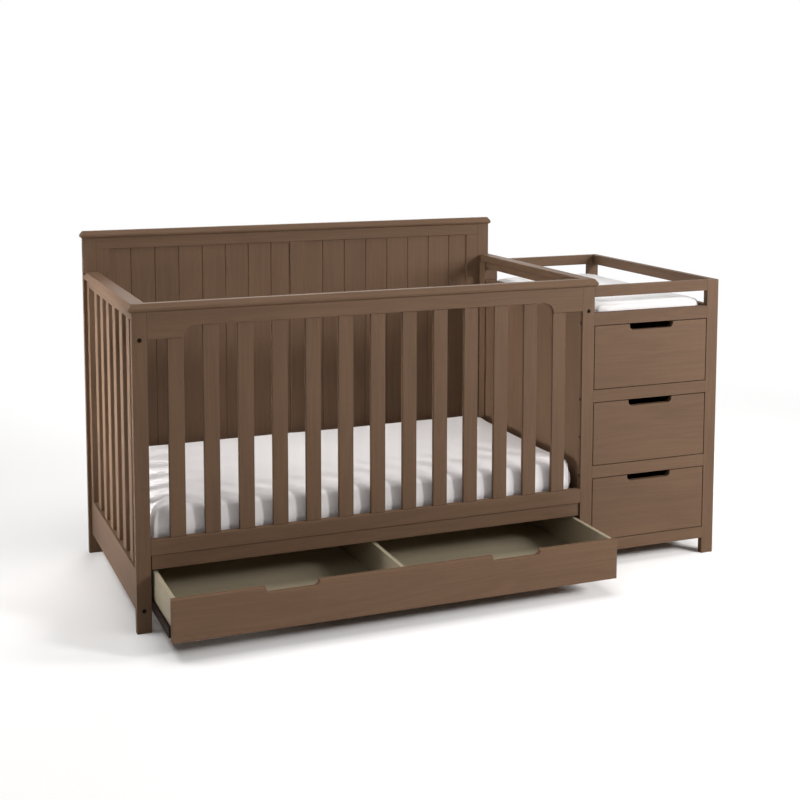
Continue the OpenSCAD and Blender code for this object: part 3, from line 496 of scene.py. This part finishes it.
def zinc_steel():
    """Zinc plated steel with a mottled sheen."""
    finish, tree, shader = new_finish("zinc_steel", metallic=1.0)
    flakes = node(tree, "ShaderNodeTexVoronoi", {
        "Vector": object_place(tree), "Scale": ZINC_FLAKES}).outputs["Distance"]
    colour_by(tree, shader, flakes, ZINC, ZINC_RANGE)
    tree.links.new(graded(tree, flakes, 0, 1, *ZINC_ROUGHNESS), shader.inputs["Roughness"])
    return finish


def woven_cotton(name, colour, thread, sheen):
    """Plain woven cotton, whose threads are thread apart."""
    finish, tree, shader = new_finish(name, roughness=0.85, sheen=sheen, sheen_roughness=0.4)
    place = object_place(tree)
    waves = vector_node(tree, "SINE", vector_node(tree, "SCALE", place, Scale=math.pi / thread))
    parts = node(tree, "ShaderNodeSeparateXYZ", {0: waves}).outputs
    weave = math_node(tree, "MULTIPLY", parts["X"], parts["Y"])
    weave = math_node(tree, "MULTIPLY_ADD", parts["Z"], 0.5, weave)
    cloud = streaks(tree, place, *COTTON_CLOUD)
    slub = streaks(tree, place, *COTTON_SLUB)
    shade = math_node(tree, "MULTIPLY_ADD", slub, 0.5, math_node(tree, "MULTIPLY", cloud, 0.5))
    colour_by(tree, shader, shade, colour, COTTON_RANGE)
    raise_by(tree, shader, weave, COTTON_BUMP, thread / 3)
    return finish


# ---------- The carried-over boards and hardware ----------

def node_slot(node_name):
    return next(row["material_slot"] for row in frame["record"]["subparts"]
                if row["node"] == node_name)


def ease_edges(piece, radius):
    """Merges the loose triangles into whole faces and rounds every edge a little."""
    weld = piece.modifiers.new("merge", "WELD")
    weld.merge_threshold = MERGE
    flat = piece.modifiers.new("flat", "DECIMATE")
    flat.decimate_type = "DISSOLVE"
    flat.angle_limit = math.radians(FLAT_ANGLE)
    ease = piece.modifiers.new("ease", "BEVEL")
    ease.width = radius
    ease.segments = EASE_STEPS
    ease.limit_method = "ANGLE"
    ease.angle_limit = math.radians(EDGE_ANGLE)
    ease.use_clamp_overlap = True


def row_of_boards(name):
    """Axis, pitch and start of the boards in a piece that holds a row of them."""
    low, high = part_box(name)
    if name in SLAT_ROWS:
        axis, steps = SLAT_ROWS[name]
        pitch = (high[axis] - low[axis]) / steps
        return axis, pitch, low[axis] - SLAT_LEAD * pitch
    if name.startswith("headboard") and name.endswith("panel"):
        return 0, PLANK_PITCH, (low.x + high.x) / 2 - PLANKS_TO_MIDDLE * PLANK_PITCH
    return None


def dress_frame():
    shared = {
        "drawer_board": drawer_board(),
        "plain_pine": plain_pine(),
        "dark_steel": dark_steel(),
        "zinc_steel": zinc_steel(),
    }
    for name, piece in frame["nodes"].items():
        slot = node_slot(name)
        if slot == "stained_wood":
            axis = 0 if name in ALONG_X else 1 if name in ALONG_Y else 2
            paint(piece, stained_wood(name, axis, row_of_boards(name)))
            ease_edges(piece, TIGHT_EDGE if name.startswith(TIGHT) else EASED_EDGE)
        elif slot in shared:
            paint(piece, shared[slot])
            ease_edges(piece, STEEL_EDGE if "steel" in slot else EASED_EDGE / 2)


# ---------- Mattress and changing pad ----------

def settle(piece):
    """Makes what the modifiers show the piece's own mesh."""
    shown = piece.evaluated_get(bpy.context.evaluated_depsgraph_get())
    mesh = bpy.data.meshes.new_from_object(shown)
    piece.modifiers.clear()
    piece.data = mesh


def smooth(piece):
    piece.data.polygons.foreach_set("use_smooth", [True] * len(piece.data.polygons))


def drawn_in_copy(node_name, name, inset, voxel):
    """The carried-over solid's shape, drawn in on every side and remeshed evenly."""
    low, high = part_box(node_name)
    bm = bmesh.new()
    bm.from_mesh(frame["nodes"][node_name].data)
    bmesh.ops.remove_doubles(bm, verts=bm.verts, dist=MERGE)
    shares = [(s - 2 * inset) / s for s in high - low]
    bmesh.ops.scale(bm, vec=shares, space=Matrix.Translation(-(low + high) / 2),
                    verts=bm.verts)
    piece = placed(name, mesh_from(bm, name))
    even = piece.modifiers.new("even", "REMESH")
    even.mode = "VOXEL"
    even.voxel_size = voxel
    settle(piece)
    return piece


def swell(piece, cap):
    """Blows the cover up like a stuffed one. No point moves further than cap, and less inwards."""
    start = [(v.co.copy(), v.normal.copy()) for v in piece.data.vertices]
    cloth = piece.modifiers.new("swell", "CLOTH")
    cloth.settings.quality = SWELL_QUALITY
    cloth.settings.use_pressure = True
    cloth.settings.uniform_pressure_force = SWELL_PRESSURE
    cloth.settings.effector_weights.gravity = 0
    cloth.point_cache.frame_start = 1
    cloth.point_cache.frame_end = SWELL_FRAMES
    for step in range(1, SWELL_FRAMES + 1):
        scene.frame_set(step)
    settle(piece)
    for vertex, (old, out) in zip(piece.data.vertices, start):
        move = vertex.co - old
        room = cap if move.dot(out) > 0 else cap * INWARD_SHARE
        if move.length > room:
            vertex.co = old + move * (room / move.length)
    scene.frame_set(1)


def subdivide_once(piece):
    finer = piece.modifiers.new("finer", "SUBSURF")
    finer.levels = finer.render_levels = 1
    settle(piece)


def rumple(piece, box, height, wave, folds, reach):
    """Long soft unevenness of height and wave, and folds drawn out from each upright corner."""
    low, high = box
    corners = [Vector((x, y)) for x in (low.x, high.x) for y in (low.y, high.y)]
    middle = (low + high) / 2
    normals = [v.normal.copy() for v in piece.data.vertices]
    for vertex, out in zip(piece.data.vertices, normals):
        p = vertex.co
        push = height * noise.noise(p / wave)
        nearest = min(corners, key=lambda c: (p.xy - c).length)
        away = p.xy - nearest
        inward = Vector((middle.x - nearest.x, middle.y - nearest.y))
        turn = math.atan2(away.y, away.x) - math.atan2(inward.y, inward.x)
        near = math.exp(-(away.length / reach) ** 2)
        push += folds * near * math.sin(FOLDS_ROUND * turn + FOLD_LEAN * p.z / reach)
        vertex.co = p + out * push


def fill_box(piece, box, fuller):
    """Stretches the piece a little, to fill its solid's space and fuller on top of that."""
    more = Vector(fuller)
    low, high = box[0] - Vector((more.x, more.y, 0)), box[1] + more
    for i in range(3):
        at = [v.co[i] for v in piece.data.vertices]
        share = (high[i] - low[i]) / (max(at) - min(at))
        start = min(at)
        for vertex in piece.data.vertices:
            vertex.co[i] = low[i] + (vertex.co[i] - start) * share


def pinch(piece, start, end):
    """Draws in a sewn channel along a straight line on the top, given by its ends in plan."""
    start, end = Vector(start), Vector(end)
    along = (end - start).normalized()
    length = (end - start).length
    middle = sum(v.co.z for v in piece.data.vertices) / len(piece.data.vertices)
    for vertex in piece.data.vertices:
        from_start = vertex.co.xy - start
        reach = min(max(from_start.dot(along), 0), length)
        away = (from_start - along * reach).length
        if vertex.co.z > middle and away < CHANNEL_WIDTH:
            vertex.co.z -= CHANNEL_DEPTH * (1 - away / CHANNEL_WIDTH) ** 2


def soft_piece(node_name, name, finish, inset, voxel, fuller, rumples, fill, channels=()):
    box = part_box(node_name)
    piece = drawn_in_copy(node_name, name, inset, voxel)
    swell(piece, inset * SWELL_ROOM)
    subdivide_once(piece)
    for start, end in channels:
        pinch(piece, start, end)
    rumple(piece, box, *rumples)
    fill_box(piece, box, fuller)
    smooth(piece)
    paint(piece, finish)
    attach(piece, node_name)
    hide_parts(node_name)
    return piece


def finished_mesh(bm, name):
    bmesh.ops.recalc_face_normals(bm, faces=bm.faces)
    return placed(name, mesh_from(bm, name))


def seam(bm, piece, route, closed):
    """A fine sewn cord laid on the surface of a soft piece, along the points of route."""
    spots = [piece.closest_point_on_mesh(point)[1:3] for point in route]
    rings = []
    for i, (spot, out) in enumerate(spots):
        before = spots[i - 1][0] if closed or i else spot
        after = spots[(i + 1) % len(spots)][0] if closed or i + 1 < len(spots) else spot
        along = (after - before).normalized()
        side = along.cross(out).normalized()
        turns = (math.tau * k / SEAM_SIDES for k in range(SEAM_SIDES))
        rings.append([bm.verts.new(spot + SEAM_RADIUS * (math.cos(a) * out + math.sin(a) * side))
                      for a in turns])
    joins = list(zip(rings, rings[1:])) + ([(rings[-1], rings[0])] if closed else [])
    for one, two in joins:
        for k in range(SEAM_SIDES):
            bm.faces.new((one[k], one[k - 1], two[k - 1], two[k]))
    if not closed:
        bm.faces.new(rings[0])
        bm.faces.new(list(reversed(rings[-1])))


def line_points(start, end):
    start, end = Vector(start), Vector(end)
    steps = max(2, round((end - start).length / SEAM_STEP))
    return [start.lerp(end, i / steps) for i in range(steps + 1)]


def loop_points(box, z):
    """Points round the outside of a box at the height z."""
    low, high = box
    corners = [(low.x, low.y, z), (high.x, low.y, z), (high.x, high.y, z), (low.x, high.y, z)]
    points = []
    for one, two in zip(corners, corners[1:] + corners[:1]):
        points += line_points(one, two)[:-1]
    return points


def sewn(name, piece, routes, node_name, closed):
    """Cords along the routes, in the piece's own cloth."""
    bm = bmesh.new()
    for route in routes:
        seam(bm, piece, route, closed)
    cords = finished_mesh(bm, name)
    smooth(cords)
    paint(cords, piece.data.materials[0])
    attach(cords, node_name)


def make_mattress():
    finish = woven_cotton("mattress_cover", SHEET_WHITE, SHEET_THREAD, SHEET_SHEEN)
    piece = soft_piece("mattress", "mattress_sheet", finish, **MATTRESS)
    low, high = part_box("mattress")
    above, below = MATTRESS_SEAM_ENDS
    routes = [line_points((x, y, low.z + above), (x, y, high.z - below))
              for x in (low.x, high.x) for y in (low.y, high.y)]
    sewn("mattress_seams", piece, routes, "mattress", False)


def make_pad():
    finish = woven_cotton("pad_cover", PAD_WHITE, PAD_THREAD, PAD_SHEEN)
    low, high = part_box("changing_pad")
    in_x, in_y = CHANNEL_IN
    channels = [((x, low.y + in_y), (x, high.y - in_y)) for x in (low.x + in_x, high.x - in_x)]
    piece = soft_piece("changing_pad", "changing_pad_cover", finish, **PAD, channels=channels)
    routes = [loop_points((low, high), low.z + PAD_SEAM_HEIGHT)]
    sewn("changing_pad_seam", piece, routes, "changing_pad", True)


# ---------- Flanged nuts in the posts ----------

def make_insert_nuts():
    """Flanged nuts in the posts' inner faces, for the mattress support at other heights."""
    bm = bmesh.new()
    for face_x, outwards in NUT_FACES:
        for z in NUT_HEIGHTS:
            centre = Vector((face_x, NUT_Y, z))
            chain = [bm.verts.new(centre + Vector((outwards * depth, 0, radius)))
                     for depth, radius in NUT_SECTION]
            edges = [bm.edges.new(pair) for pair in zip(chain, chain[1:])]
            bmesh.ops.spin(bm, geom=chain + edges, cent=centre, axis=(1, 0, 0),
                           angle=math.tau, steps=NUT_SIDES, use_merge=True)
    bmesh.ops.remove_doubles(bm, verts=bm.verts, dist=MERGE)
    nuts = finished_mesh(bm, "insert_nuts")
    paint(nuts, bpy.data.materials["dark_steel"])
    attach(nuts, "frame")


make_camera()
make_world()
make_floor()
for light in LIGHTS:
    soft_light(*light)
dress_frame()
make_mattress()
make_pad()
make_insert_nuts()
